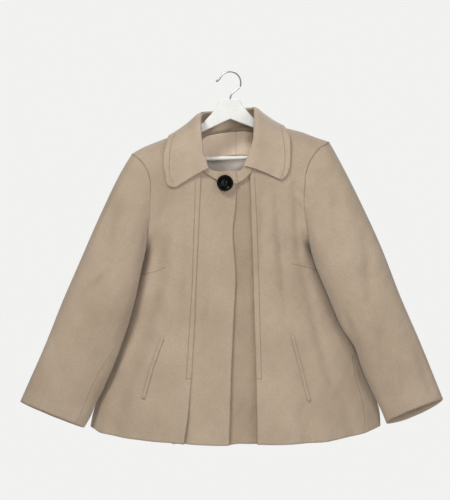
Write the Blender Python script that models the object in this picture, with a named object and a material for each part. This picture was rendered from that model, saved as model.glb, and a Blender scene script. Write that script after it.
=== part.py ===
"""Swing coat on a wooden hanger.

Metres, +Z up. The wearer's front faces -Y, so the coat's right side lies at -X.
The origin is the inside top of the hook, where it hangs.

The coat's body is one tube of cloth. A point of it is given by a turn, the angle
across the body (-90 degrees at the right side, +90 at the left side), and a run,
the way down the cloth from the shoulder ridge: positive down the front, negative
down the back. Every panel, and all that lies on a panel, is made from such points.
"""
import math

import bmesh
import bpy
import mathutils
import numpy as np

MM = 0.001

# cloth
CLOTH = 2.0 * MM
SEAM_GAP = 0.3 * MM
SLEEVE_HEAD_GAP = 1.4 * MM
OVERLAY = CLOTH + 0.6 * MM

# body tube
RIDGE_DROP = 46 * MM
FRONT_DEPTHS = [(-60, 50), (-240, 52), (-380, 58), (-600, 76), (-800, 92)]
BACK_DEPTHS = [(-60, 50), (-240, 54), (-380, 60), (-600, 80), (-800, 98)]
ARMHOLE_DEPTH = 44 * MM
UNDERARM_ROUND = 120 * MM
# height, how far the sleeves push the body's sides back
SIDE_BACK = [(-375, 0), (-395, 8), (-430, 25), (-520, 27), (-600, 21), (-700, 12), (-800, 9)]
SIDE_BACK_POWER = 5

# height, right edge and left edge of the body: armholes above, sides below
RIGHT_EDGE = [
    (-150, -209), (-174, -209), (-190, -189), (-215, -172), (-241, -168),
    (-299, -170), (-334, -173), (-361, -177), (-380, -180), (-410, -189),
    (-450, -206), (-490, -216), (-532, -227), (-551, -232), (-584, -242), (-620, -253),
    (-656, -267), (-684, -277), (-705, -289), (-731, -294), (-756, -299), (-810, -312),
]
LEFT_EDGE = [
    (-130, 211), (-149, 211), (-169, 181), (-195, 167), (-218, 159),
    (-264, 156), (-292, 157), (-334, 163), (-369, 169), (-380, 172),
    (-410, 187), (-444, 203), (-480, 219), (-515, 234), (-543, 246), (-566, 259), (-586, 271),
    (-622, 282), (-653, 293), (-697, 311), (-722, 320), (-755, 322), (-810, 334),
]
UNDERARM = -380 * MM
# shoulder ridge: across, height
RIDGE = [
    (-209, -174), (-193, -164), (-165, -152), (-126, -137), (-80, -117),
    (-40, -103), (0, -97), (35, -95), (70, -103), (118, -119), (153, -128),
    (181, -139), (211, -149),
]
# hem of the front and of the back: across, height
FRONT_HEM = [
    (-320, -752), (-299, -756), (-278, -768), (-229, -776), (-149, -784), (-67, -789),
    (-6, -791), (0, -787), (55, -787), (107, -789), (199, -784), (283, -769), (322, -756),
    (340, -752),
]
BACK_HEM = [
    (-320, -752), (-299, -757), (-284, -764), (-200, -772), (0, -780), (200, -772),
    (283, -769), (306, -762), (322, -755), (340, -752),
]

# seams of the front: across, height
RIGHT_PLEAT = [(-98, -788), (-89, -723), (-82, -652), (-76, -551), (-70, -394), (-62, -217), (-62, -196)]
LEFT_PLEAT = [(57, -788), (55, -652), (51, -508), (48, -382), (45, -316), (43, -219), (45, -203)]
FRONT_EDGE = [
    (-3, -790), (-1, -722), (1, -654), (5, -560), (8, -508), (12, -431), (9, -399),
    (5, -341), (12, -284), (13, -243), (13, -233),
]
UNDERLAP_EDGE = [(-36, -789), (-34, -560), (-30, -400), (-30, -240), (-30, -226)]
RIGHT_NECKLINE = [(-62, -196), (-71, -170), (-77, -144), (-84, -138)]
LEFT_NECKLINE = [(45, -203), (55, -187), (66, -155), (72, -140), (80, -128)]
RIGHT_SHOULDER_SEAM = [(-187, -188), (-163, -172), (-140, -162), (-84, -138)]
LEFT_SHOULDER_SEAM = [(184, -164), (153, -149), (128, -142), (80, -128)]
PLEAT_LAY = 26 * MM
PLEAT_STITCH_END = -652 * MM
PLEAT_OPENING = 7 * MM
PLEAT_OPENING_LENGTH = 110 * MM
# how far the side seams stand in from the body's edge: height, right, left
SIDE_SEAMS = [(-380, 0, 0), (-540, 0, 0), (-600, 2, 14), (-660, 6, 26), (-720, 10, 33), (-790, 15, 40)]
SIDE_FOOT = -765 * MM
BACK_NECK_RUN = -46 * MM

# long soft folds of the fronts: across and height at the top, then at the foot, width, depth
FRONT_FOLDS = [
    (-136, -270, -172, -500, 22, 5.0),
    (-172, -500, -232, -660, 24, 4.0),
    (68, -250, 76, -420, 16, 2.5),
    (102, -250, 118, -470, 20, 4.0),
    (140, -215, 146, -390, 16, 3.0),
    (-30, -420, -40, -760, 20, 2.0),
    (170, -560, 200, -770, 26, -4.0),
    (-190, -600, -215, -770, 26, -4.0),
]
BACK_FOLDS = [
    (-70, -260, -120, -770, 34, 9.0),
    (75, -260, 125, -770, 34, 9.0),
    (-150, -330, -225, -760, 28, 6.0),
    (150, -330, 235, -760, 28, 6.0),
    (0, -420, 0, -770, 30, -5.0),
]

# rows and columns of the sheets
SIDE_ROWS = 12
ARM_ROWS = 8
TIP_ROWS = 3
SIDE_COLUMNS = 9
CENTRE_COLUMNS = 5
CENTRE_ROWS = SIDE_ROWS + 4
NECK_COLUMNS = ARM_ROWS - 3
BACK_ROW_POWER = 1.35
BACK_FOOT = -780 * MM


def curve(rows, soft=0.0, column=1):
    """A function that reads one column of a table, softened over the given length."""
    order = sorted(rows)
    keys = np.array([row[0] for row in order]) * MM
    values = np.array([row[column] for row in order]) * MM

    def read(at):
        at = np.asarray(at, dtype=float)
        spread = [np.interp(at + shift, keys, values) for shift in (-soft, 0.0, soft)]
        return sum(spread) / len(spread)

    return read


right_edge = curve(RIGHT_EDGE)
left_edge = curve(LEFT_EDGE)
ridge = curve(RIDGE)
front_depth = curve(FRONT_DEPTHS, 40 * MM)
back_depth = curve(BACK_DEPTHS, 40 * MM)
side_back = curve(SIDE_BACK, 20 * MM)
front_hem = curve(FRONT_HEM, 4 * MM)
back_hem = curve(BACK_HEM, 10 * MM)
right_seam_inset = curve(SIDE_SEAMS, 15 * MM)
left_seam_inset = curve(SIDE_SEAMS, 15 * MM, 2)

QUARTER = RIDGE_DROP * math.pi / 2
# turns past this lie on the other side of the body
SIDE_TURN = math.pi / 2 + 1e-7
# rounds, and share of the miss put right in each, that find a place across the body
PLACE_ROUNDS = 90
PLACE_SHARE = 0.6


def drop_of(run):
    """How far below the ridge a run lies, and how much of the depth it has reached."""
    length = np.abs(run)
    angle = np.minimum(length / RIDGE_DROP, math.pi / 2)
    drop = RIDGE_DROP * (1 - np.cos(angle)) + np.maximum(length - QUARTER, 0.0)
    return drop, np.sin(angle)


def run_of(drop):
    drop = np.maximum(drop, 0.0)
    angle = np.arccos(np.clip(1 - drop / RIDGE_DROP, 0.0, 1.0))
    return np.where(drop < RIDGE_DROP, RIDGE_DROP * angle, QUARTER + drop - RIDGE_DROP)


def soft_folds(across, height, folds):
    """Depth of the soft folds at a place: each is a trough along a slanted line."""
    total = np.zeros_like(across)
    for top_x, top_z, foot_x, foot_z, width, depth in folds:
        share = (height / MM - top_z) / (foot_z - top_z)
        line = top_x + (foot_x - top_x) * share
        away = (across / MM - line) / width
        ends = np.clip(np.minimum(share + 0.15, 1.25 - share) / 0.3, 0.0, 1.0)
        total += depth * MM * np.exp(-away * away) * ends * ends * (3 - 2 * ends)
    return total


def place(turn, run):
    """The points of the body's outer cloth at turns and runs."""
    turn = np.asarray(turn, dtype=float)
    run = np.asarray(run, dtype=float)
    drop, reach = drop_of(run)
    across = np.zeros_like(turn)
    height = ridge(across) - drop
    for _ in range(PLACE_ROUNDS):
        low = right_edge(height)
        high = left_edge(height)
        aim = (low + high) / 2 + (high - low) / 2 * np.sin(turn)
        across = across + PLACE_SHARE * (aim - across)
        height = ridge(across) - drop
    to_front = (run >= 0) != (np.abs(turn) > SIDE_TURN)
    rise = np.clip((height - UNDERARM) / UNDERARM_ROUND, 0.0, 1.0)
    armhole = ARMHOLE_DEPTH * np.sqrt(1 - (1 - rise) ** 2)
    depth = np.where(to_front, front_depth(height), back_depth(height))
    depth = np.sqrt((depth * np.cos(turn)) ** 2 + (armhole * np.sin(turn)) ** 2)
    trough = np.where(
        to_front, soft_folds(across, height, FRONT_FOLDS), soft_folds(across, height, BACK_FOLDS)
    )
    depth = depth * reach - trough * np.abs(np.cos(turn)) * reach
    back = side_back(height) * np.abs(np.sin(turn)) ** SIDE_BACK_POWER
    return np.stack([across, np.where(to_front, -depth, depth) + back, height], axis=-1)


def outward(turn, run):
    """The directions that point out of the cloth at turns and runs."""
    turn = np.asarray(turn, dtype=float)
    run = np.asarray(run, dtype=float)
    limit = math.pi / 2 - 0.02
    open_side = place(turn, run)[..., 2] > UNDERARM + 0.1 * MM
    turn = np.where(open_side, np.clip(turn, -limit, limit), turn)
    over = place(turn + 0.01, run) - place(turn - 0.01, run)
    down = place(turn, run + 0.0004) - place(turn, run - 0.0004)
    way = -np.cross(over, down)
    return way / np.linalg.norm(way, axis=-1, keepdims=True)


def spot(across, height, back=False):
    """The turn and run of a place given across and by height, in metres."""
    low = right_edge(height)
    high = left_edge(height)
    turn = np.arcsin(np.clip((across - (low + high) / 2) / ((high - low) / 2), -1.0, 1.0))
    run = run_of(ridge(across) - height)
    return np.stack([turn, -run if back else run], axis=-1)


def along(rows, count):
    """A table's line in metres, cut into equal lengths."""
    line = np.array(rows, dtype=float) * MM
    steps = np.linalg.norm(np.diff(line, axis=0), axis=1)
    length = np.concatenate([[0.0], np.cumsum(steps)])
    at = np.linspace(0.0, length[-1], count + 1)
    return np.stack([np.interp(at, length, line[:, axis]) for axis in range(line.shape[1])], axis=-1)


def front_line(rows, count):
    line = along(rows, count)
    return spot(line[:, 0], line[:, 1])


def hem_line(turn_a, turn_b, count, back=False):
    """The hem's turns and runs between two turns."""
    turn = np.linspace(turn_a, turn_b, count + 1)
    hem = back_hem if back else front_hem
    height = np.full_like(turn, -0.775)
    for _ in range(12):
        low = right_edge(height)
        high = left_edge(height)
        across = (low + high) / 2 + (high - low) / 2 * np.sin(turn)
        height = hem(across)
    run = run_of(ridge(across) - height)
    return np.stack([turn, -run if back else run], axis=-1)


def side_seam(side):
    """The side seam from the hem to the underarm as the front panel reads it."""
    inset = right_seam_inset if side < 0 else left_seam_inset
    edge = right_edge if side < 0 else left_edge
    foot = front_hem(edge(SIDE_FOOT) - side * inset(SIDE_FOOT))
    height = np.linspace(foot, UNDERARM, SIDE_ROWS + 1)
    across = edge(height) - side * inset(height)
    line = spot(across, height)
    line[inset(height) <= 0.2 * MM, 0] = side * math.pi / 2
    return line


def armhole_line(side, seam_row):
    """The armhole from the underarm up the front to the shoulder seam, over the tip, down the back."""
    bottom = run_of(ridge((right_edge if side < 0 else left_edge)(UNDERARM)) - UNDERARM)
    seam = spot(seam_row[0] * MM, seam_row[1] * MM)[1]
    front = np.linspace(bottom, seam, ARM_ROWS + 1)
    over = np.linspace(seam, 0.0, TIP_ROWS + 1)[1:]
    back = np.linspace(0.0, -bottom, ARM_ROWS + 1)[1:]
    run = np.concatenate([front, over, back])
    return np.stack([np.full_like(run, side * math.pi / 2), run], axis=-1)


def across_run(across, run):
    """The turn and run of a place given across and by its run."""
    drop, _ = drop_of(run)
    height = ridge(across) - drop
    turn = spot(across, height)[..., 0]
    return np.stack([turn, run], axis=-1)


def patch(line_a, line_b, foot, top):
    """A grid of turns and runs between two side lines, a foot line and a top line."""
    foot = foot.copy()
    top = top.copy()
    foot[0], foot[-1] = line_a[0], line_b[0]
    top[0], top[-1] = line_a[-1], line_b[-1]
    up = np.linspace(0.0, 1.0, len(line_a))[:, None, None]
    over = np.linspace(0.0, 1.0, len(foot))[None, :, None]
    sides = (1 - over) * line_a[:, None] + over * line_b[:, None]
    ends = (1 - up) * foot[None] + up * top[None]
    feet = (1 - over) * foot[0] + over * foot[-1]
    tops = (1 - over) * top[0] + over * top[-1]
    return sides + ends - (1 - up) * feet - up * tops


def finish(name, colour, roughness, metallic=0.0):
    material = bpy.data.materials.new(name)
    material.use_nodes = True
    shader = material.node_tree.nodes["Principled BSDF"]
    shader.inputs["Base Color"].default_value = (*colour, 1.0)
    shader.inputs["Roughness"].default_value = roughness
    shader.inputs["Metallic"].default_value = metallic
    return material


def add_object(name, points, faces, material, smooth=40):
    mesh = bpy.data.meshes.new(name)
    mesh.from_pydata([tuple(point) for point in points], [], faces)
    model = bmesh.new()
    model.from_mesh(mesh)
    bmesh.ops.recalc_face_normals(model, faces=model.faces)
    model.to_mesh(mesh)
    model.free()
    mesh.shade_smooth()
    mesh.set_sharp_from_angle(angle=math.radians(smooth))
    mesh.materials.append(material)
    thing = bpy.data.objects.new(name, mesh)
    bpy.context.scene.collection.objects.link(thing)
    return thing


def trimmed(points, gap=SEAM_GAP / 2):
    """A grid whose four edges stand back by half a seam's gap."""
    grid = points.copy()
    for edge, inner in ((0, 1), (-1, -2)):
        step = points[inner] - points[edge]
        grid[edge] = points[edge] + gap * step / np.linalg.norm(step, axis=-1, keepdims=True)
    after = grid.copy()
    for edge, inner in ((0, 1), (-1, -2)):
        step = after[:, inner] - after[:, edge]
        grid[:, edge] = after[:, edge] + gap * step / np.linalg.norm(step, axis=-1, keepdims=True)
    return grid


def wall(name, outer, ways, thickness, material):
    """A wall of cloth: a grid of outer points, and the same points moved in."""
    rows, columns = outer.shape[:2]
    inner = outer - ways * thickness
    points = np.concatenate([outer.reshape(-1, 3), inner.reshape(-1, 3)])
    under = rows * columns

    def at(row, column, low=0):
        return low + row * columns + column

    faces = []
    for row in range(rows - 1):
        for column in range(columns - 1):
            cell = [(row, column), (row, column + 1), (row + 1, column + 1), (row + 1, column)]
            faces.append([at(*corner) for corner in cell])
            faces.append([at(*corner, under) for corner in reversed(cell)])
    rim = [(0, column) for column in range(columns)]
    rim += [(row, columns - 1) for row in range(1, rows)]
    rim += [(rows - 1, column) for column in range(columns - 2, -1, -1)]
    rim += [(row, 0) for row in range(rows - 2, 0, -1)]
    for here, there in zip(rim, rim[1:] + rim[:1]):
        faces.append([at(*there), at(*here), at(*here, under), at(*there, under)])
    return add_object(name, points, faces, material)


def panel(name, grid, lift, material, thickness=CLOTH):
    """A panel of the body, raised from the tube's outer cloth by its lift."""
    ways = outward(grid[..., 0], grid[..., 1])
    outer = place(grid[..., 0], grid[..., 1]) + ways * np.asarray(lift)[..., None]
    return wall(name, trimmed(outer), ways, thickness, material)


def own_ways(points, inside):
    """The directions that a grid's own cells face, away from what lies inside."""
    along_rows = np.gradient(points, axis=0)
    along_columns = np.gradient(points, axis=1)
    ways = np.cross(along_rows, along_columns)
    ways /= np.linalg.norm(ways, axis=-1, keepdims=True)
    flip = np.sum(ways * (points - inside), axis=-1, keepdims=True)
    return np.where(np.sum(flip) < 0, -ways, ways)


def pleat_opening(grid):
    """How far a centre panel falls back below the stitched length of the pleats."""
    height = place(grid[..., 0], grid[..., 1])[..., 2]
    share = np.clip((PLEAT_STITCH_END - height) / PLEAT_OPENING_LENGTH, 0.0, 1.0)
    return PLEAT_OPENING * share * share * (3 - 2 * share)


RIGHT_CENTRE_TOP = [(-86, -208), (-62, -200), (-45, -215), (-28, -224), (-9, -232), (13, -233)]
LEFT_CENTRE_TOP = [(70, -210), (45, -203), (36, -215), (17, -231), (-9, -231), (-30, -226)]
# the back neckline: across, run
BACK_NECKLINE = [(0, -46), (36, -44), (62, -30), (78, 0)]


def build_fronts(shell):
    tip = ARM_ROWS
    for side, word in ((-1, "right"), (1, "left")):
        right = side < 0
        seam = RIGHT_SHOULDER_SEAM if right else LEFT_SHOULDER_SEAM
        pleat = RIGHT_PLEAT if right else LEFT_PLEAT
        neckline = RIGHT_NECKLINE if right else LEFT_NECKLINE
        outer_line = np.concatenate([side_seam(side), armhole_line(side, seam[0])[1:tip + 1]])
        inner_line = front_line(pleat + neckline[1:], SIDE_ROWS + ARM_ROWS)
        foot = hem_line(outer_line[0, 0], inner_line[0, 0], SIDE_COLUMNS)
        grid = patch(outer_line, inner_line, foot, front_line(seam, SIDE_COLUMNS))
        panel(f"front_{word}_side", grid, np.zeros(grid.shape[:2]), shell)

        rows = CENTRE_ROWS
        lay = -PLEAT_LAY / MM if right else PLEAT_LAY / MM
        under = front_line([(x + lay, z) for x, z in pleat[:-1]] + [(pleat[-1][0] + lay, -210)], rows)
        edge = front_line(FRONT_EDGE if right else UNDERLAP_EDGE, rows)
        top = front_line(RIGHT_CENTRE_TOP if right else LEFT_CENTRE_TOP, CENTRE_COLUMNS)
        foot = hem_line(under[0, 0], edge[0, 0], CENTRE_COLUMNS)
        grid = patch(under, edge, foot, top)
        layers = 1 if right else 2
        panel(f"front_{word}_centre", grid, -layers * OVERLAY - pleat_opening(grid), shell)


def build_backs(shell):
    for side, word in ((-1, "right"), (1, "left")):
        seam = RIGHT_SHOULDER_SEAM if side < 0 else LEFT_SHOULDER_SEAM
        front = side_seam(side)
        low = np.stack([side * math.pi - front[:, 0], -front[:, 1]], axis=-1)
        arm = armhole_line(side, seam[0])[::-1]
        outer_line = np.concatenate([low, arm[1:ARM_ROWS + TIP_ROWS + 1]])
        neck_height = ridge(0.0) - drop_of(BACK_NECK_RUN)[0]
        fall = np.linspace(1.0, 0.0, CENTRE_ROWS) ** BACK_ROW_POWER
        heights = neck_height + (BACK_FOOT - neck_height) * fall
        centre = spot(np.full_like(heights, side * 0.01 * MM), heights, back=True)
        neck = along([(side * x, run) for x, run in BACK_NECKLINE], NECK_COLUMNS)
        neck = across_run(neck[1:, 0], neck[1:, 1])
        end = front_line([seam[-1], seam[-1]], 1)[0]
        over = neck[-1] + (end - neck[-1]) * np.linspace(0, 1, TIP_ROWS + 1)[1:, None]
        inner_line = np.concatenate([centre, neck, over])
        foot = hem_line(outer_line[0, 0], inner_line[0, 0], SIDE_COLUMNS, back=True)
        grid = patch(outer_line, inner_line, foot, front_line(seam, SIDE_COLUMNS))
        panel(f"back_{word}", grid, np.zeros(grid.shape[:2]), shell)


# the sleeves' edges seen from the front, from the top to the cuff: across, height
SLEEVE_EDGES = {
    "right": (
        [(-180, -380), (-187, -410), (-195, -450), (-202, -490), (-214, -532), (-232, -584),
         (-245, -620), (-262, -656), (-272, -684), (-286, -703), (-295, -730), (-311, -758)],
        [(-209, -174), (-230, -204), (-258, -259), (-286, -324), (-309, -380), (-337, -444),
         (-360, -497), (-378, -544), (-402, -602), (-425, -653), (-447, -703)],
    ),
    "left": (
        [(171, -380), (181, -410), (191, -444), (207, -480), (222, -515), (235, -543), (249, -566),
         (264, -586), (276, -622), (288, -653), (308, -697), (322, -722), (332, -747)],
        [(211, -149), (223, -169), (246, -213), (269, -259), (292, -308), (315, -359), (339, -419),
         (362, -481), (385, -532), (408, -586), (431, -643), (453, -698)],
    ),
}
# share of the sleeve's length, half its depth, how far it swings forward
SLEEVE_SHAPE = [
    (0.0, 44, 0), (0.06, 49, 8), (0.12, 49, 17), (0.3, 46, 22), (0.6, 39, 23), (0.85, 33, 22), (1.0, 30, 20),
]
SLEEVE_RINGS = (0.0, 0.04, 0.1, 0.17, 0.25, 0.33, 0.41, 0.49, 0.57, 0.65, 0.74, 0.83, 0.92, 1.0)
CAP_SHARE = 0.42
UNDER_FRONT = 2
UNDER_BACK = 4
# how far the cuff's front is raised and its back lowered
CUFF_RISE = {"right": 3 * MM, "left": 7 * MM}
CUFF_DROP = {"right": 7 * MM, "left": 15 * MM}
CUFF_POWER = 6
# share of the sleeve's length, degrees of the front seam round from the sleeve's inner edge
SEAM_DEGREES = {
    "right": [(0.3, -8), (0.41, 12), (0.53, 28), (0.71, 45), (1.0, 41)],
    "left": [(0.3, -10), (1.0, -10)],
}
SEAM_SPREAD = math.radians(75)
SLEEVE_FOLDS = [
    (-236, -280, -262, -350, 13, 3.0),
    (-300, -470, -322, -560, 15, 3.0),
    (-352, -600, -372, -690, 16, 3.0),
    (222, -250, 228, -350, 13, 3.0),
    (290, -370, 296, -480, 14, 3.5),
    (318, -550, 340, -700, 14, 4.0),
    (362, -640, 368, -735, 12, 3.0),
]

# collar: across and height (front) or run (back) of the neck seam, of the fold and of the edge
COLLAR_RIGHT = [
    # seam_x, seam_z, fold_x, fold_z, fold_lift, edge_x, edge_z
    (-48, -220, -46, -207, 6.5, -115, -247),
    (-57, -210, -50, -196, 8.0, -129, -245),
    (-64, -199, -53, -184, 9.5, -135, -234),
    (-76, -174, -58, -166, 12.5, -140, -205),
    (-79.8, -161, -58.7, -157, 14.5, -140, -188),
    (-83, -148, -59, -148, 16.5, -138, -171),
    (-87, -135, -58, -128, 19.5, -133, -152),
]
COLLAR_BACK = [
    # seam_x, seam_run, fold_x, fold_run, fold_lift, edge_x, edge_run
    (-87, 0, -53, 0, 22.0, -127, 0),
    (-67, -33, -43, -14, 24.0, -112, -42),
    (-38, -49, -24, -22, 25.0, -62, -76),
    (0, -51, 0, -25, 25.0, 0, -84),
    (38, -49, 23, -22, 25.0, 60, -76),
    (71, -33, 40, -14, 24.0, 100, -42),
    (85, 0, 46, 0, 22.0, 110, 0),
]
COLLAR_LEFT = [
    (82, -122, 48, -117, 19.5, 120, -132),
    (74, -150, 49, -140, 16.5, 126, -154),
    (69.3, -166, 46.8, -151.5, 14.5, 127, -168),
    (64, -181, 44, -163, 12.5, 127, -182),
    (54, -200, 38, -179, 9.5, 125, -203),
    (46, -211, 33, -191, 8.0, 119, -221),
    (39, -221, 28, -203, 6.5, 106, -231),
]
# ends of the neckband: seam across, height and lift, top across, height and lift
BAND_RIGHT_END = [
    (16, -240, 5.3, 11, -214, 5.8), (-9, -239, 5.3, -14, -215, 5.8), (-30, -231, 4.2, -34, -213, 5.8),
]
BAND_LEFT_END = [(17, -238, 2.7, 19, -213, 3.1), (-18, -238, 2.6, -18, -215, 2.9)]
SEAM_LIFT = 2.7
BACK_SEAM_LIFT = 4.2
FOLD_ROLL = 2.4 * MM
FOLD_SWELL = 3 * MM
FOLD_SWELL_SHARE = 0.3
FALL_POWER = 1.5
EDGE_LIFT = 5.0 * MM
COLLAR_STEPS = 2
FALL_ROWS = (0.0, 0.05, 0.13, 0.26, 0.42, 0.6, 0.8, 1.0)


def seam_turns(word, share, turns):
    """The ring's turns, shifted so that the front seam runs where it does on the sleeve."""
    shares, degrees = zip(*SEAM_DEGREES[word])
    seam = turns[UNDER_FRONT]
    shift = math.radians(np.interp(share, shares, degrees)) - seam
    shift *= min(share / shares[0], 1.0)
    from_edge = np.where(turns > math.pi, turns - 2 * math.pi, turns)
    away = np.clip(1 - np.abs(from_edge - seam) / SEAM_SPREAD, 0.0, 1.0)
    return turns + shift * away


def sleeve_ring(word, share, loop, turns):
    """One ring of a sleeve: the armhole's loop at the top, an oval further down."""
    inner_rows, outer_rows = SLEEVE_EDGES[word]
    steps = 100
    inner = along(inner_rows, steps)
    outer = along(outer_rows, steps)
    index = share * steps
    at = [np.array([np.interp(index, np.arange(steps + 1), line[:, axis]) for axis in (0, 1)])
          for line in (inner, outer)]
    shares = [row[0] for row in SLEEVE_SHAPE]
    depth = np.interp(share, shares, [row[1] for row in SLEEVE_SHAPE]) * MM
    forward = np.interp(share, shares, [row[2] for row in SLEEVE_SHAPE]) * MM
    centre = (at[0] + at[1]) / 2
    half = (at[1] - at[0]) / 2
    across = centre[0] - half[0] * np.cos(turns)
    height = centre[1] - half[1] * np.cos(turns)
    tilt = np.where(np.sin(turns) > 0, CUFF_RISE[word], CUFF_DROP[word])
    height += tilt * share ** CUFF_POWER * np.sin(turns)
    deep = -forward - depth * np.sin(turns)
    front = np.maximum(np.sin(turns), 0.0)
    deep += soft_folds(across, height, SLEEVE_FOLDS) * front
    oval = np.stack([across, deep, height], axis=-1)
    hold = max(0.0, 1 - share / CAP_SHARE) ** 2
    return loop * hold + oval * (1 - hold)


def build_sleeves(shell):
    for side, word in ((-1, "right"), (1, "left")):
        seam = RIGHT_SHOULDER_SEAM if side < 0 else LEFT_SHOULDER_SEAM
        line = armhole_line(side, seam[0])[:-1]
        loop = place(line[:, 0], line[:, 1])
        count = len(loop)
        top = ARM_ROWS + TIP_ROWS
        steps = np.linalg.norm(np.diff(np.concatenate([loop, loop[:1]]), axis=0), axis=1)
        gone = np.concatenate([[0.0], np.cumsum(steps)])
        turns = np.where(
            np.arange(count) <= top,
            math.pi * gone[:-1] / gone[top],
            math.pi + math.pi * (gone[:-1] - gone[top]) / (gone[-1] - gone[top]),
        )
        rings = np.stack([
            sleeve_ring(word, share, loop, seam_turns(word, share, turns)) for share in SLEEVE_RINGS
        ])
        body_ways = outward(line[:, 0], line[:, 1])
        round_loop = np.roll(loop, -1, axis=0) - np.roll(loop, 1, axis=0)
        off = np.cross(round_loop, body_ways)
        off /= np.linalg.norm(off, axis=-1, keepdims=True)
        if np.sum(off[:, 0]) * side < 0:
            off = -off
        step = rings[1] - rings[0]
        step /= np.linalg.norm(step, axis=-1, keepdims=True)
        off += step
        rings[0] += SLEEVE_HEAD_GAP * off / np.linalg.norm(off, axis=-1, keepdims=True)
        downs = np.gradient(rings, axis=0)
        rounds = np.roll(rings, -1, axis=1) - np.roll(rings, 1, axis=1)
        ways = np.cross(rounds, downs) * side
        ways /= np.linalg.norm(ways, axis=-1, keepdims=True)
        if np.sum(ways * (rings - rings.mean(axis=1, keepdims=True))) < 0:
            ways = -ways
        agree = np.sum(ways[0] * body_ways, axis=-1, keepdims=True) > 0.7
        ways[0] = np.where(agree, body_ways, ways[0])
        upper = list(range(UNDER_FRONT, count - UNDER_BACK + 1))
        under = [index % count for index in range(count - UNDER_BACK, count + UNDER_FRONT + 1)]
        for name, columns in (("upper", upper), ("under", under)):
            grid = trimmed(rings[:, columns], SEAM_GAP)
            wall(f"sleeve_{word}_{name}", grid, ways[:, columns], CLOTH, shell)


def on_body(rows):
    """Points off the body's cloth from rows of turn, run and lift."""
    rows = np.asarray(rows)
    ways = outward(rows[..., 0], rows[..., 1])
    return place(rows[..., 0], rows[..., 1]) + ways * rows[..., 2:3]


def collar_spot(across, at, lift, back):
    if back:
        turn, run = across_run(across * MM, at * MM)
    else:
        turn, run = spot(across * MM, at * MM)
    return (float(turn), float(run), lift * MM)


def rounded(rows, steps):
    """Rows with others set between them on a smooth curve."""
    rows = np.asarray(rows, dtype=float)
    ends = np.concatenate([[2 * rows[0] - rows[1]], rows, [2 * rows[-1] - rows[-2]]])
    out = []
    for index in range(1, len(ends) - 2):
        p0, p1, p2, p3 = ends[index - 1:index + 3]
        for step in range(steps):
            t = step / steps
            bend = 2 * p0 - 5 * p1 + 4 * p2 - p3
            out.append(0.5 * (2 * p1 + (p2 - p0) * t + bend * t * t + (3 * p1 - p0 - 3 * p2 + p3) * t ** 3))
    out.append(rows[-1])
    return np.array(out)


def build_collar(shell):
    seams, folds, edges = [], [], []
    for rows, back in ((COLLAR_RIGHT, False), (COLLAR_BACK, True), (COLLAR_LEFT, False)):
        for seam_x, seam_at, fold_x, fold_at, lift, edge_x, edge_at in rows:
            rise = BACK_SEAM_LIFT if back else SEAM_LIFT
            seams.append(collar_spot(seam_x, seam_at, rise, back))
            folds.append(collar_spot(fold_x, fold_at, lift, back))
            edges.append(collar_spot(edge_x, edge_at, EDGE_LIFT / MM, back))
    fold_line = rounded(folds, COLLAR_STEPS)
    edge_line = rounded(edges, COLLAR_STEPS)
    rows = []
    for share in FALL_ROWS:
        line = fold_line + (edge_line - fold_line) * share
        high = (1 - share) ** FALL_POWER
        roll = FOLD_SWELL * math.sin(math.pi * min(share / FOLD_SWELL_SHARE, 1.0))
        line[:, 2] = EDGE_LIFT + (fold_line[:, 2] + FOLD_ROLL - EDGE_LIFT) * high + roll
        rows.append(on_body(line))
    fall = np.stack(rows)
    ways = own_ways(fall, np.array([0.0, 0.0, -0.2]))
    wall("collar_fall", fall, ways, CLOTH, shell)

    first = [(collar_spot(row[0], row[1], row[2], False), collar_spot(row[3], row[4], row[5], False))
             for row in BAND_RIGHT_END]
    last = [(collar_spot(row[0], row[1], row[2], False), collar_spot(row[3], row[4], row[5], False))
            for row in BAND_LEFT_END]
    low = [pair[0] for pair in first] + seams + [pair[0] for pair in last]
    high = [pair[1] for pair in first] + folds + [pair[1] for pair in last]
    low_line = rounded(low, COLLAR_STEPS)
    high_line = rounded(high, COLLAR_STEPS)
    stand = np.stack([on_body(low_line + (high_line - low_line) * share) for share in (0.0, 0.35, 0.7, 1.0)])
    ways = own_ways(stand, np.array([0.0, 0.0, -0.2]))
    wall("collar_stand", stand, ways, CLOTH, shell)


# neck facing and lining: run, half width
FACING_ROWS = [(-52, 56), (-66, 68), (-80, 78), (-93, 86), (-105, 92)]
LINING_ROWS = [(-106, 98), (-130, 104), (-155, 108), (-180, 112), (-205, 114), (-228, 116)]
INSIDE_LIFT = -(CLOTH + 1.6 * MM)
INSIDE_COLUMNS = 8
LINING_THICK = 1.5 * MM


def build_inside(shell, lining):
    for name, rows, material in (("neck_facing", FACING_ROWS, shell), ("back_lining", LINING_ROWS, lining)):
        across = np.linspace(-1.0, 1.0, INSIDE_COLUMNS + 1)
        grid = np.stack([
            across_run(across * half * MM, np.full_like(across, run * MM)) for run, half in rows
        ])
        panel(name, grid, np.full(grid.shape[:2], INSIDE_LIFT), material, LINING_THICK)


# welt pockets: across and height of the top, the middle and the foot
WELTS = {"right": [(-142, -564), (-165, -628), (-183, -693)], "left": [(130, -559), (147, -624), (166, -698)]}
WELT_WIDTH = 6 * MM
WELT_LIFT = CLOTH + 0.7 * MM


def build_welts(shell):
    for word, rows in WELTS.items():
        line = along(rows, 8)
        way = np.gradient(line, axis=0)
        way /= np.linalg.norm(way, axis=-1, keepdims=True)
        side = np.stack([-way[:, 1], way[:, 0]], axis=-1) * WELT_WIDTH / 2
        strips = [line - side, line + side]
        grid = np.stack([spot(strip[:, 0], strip[:, 1]) for strip in strips], axis=1)
        panel(f"welt_{word}", grid, np.full(grid.shape[:2], WELT_LIFT), shell)


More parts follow.
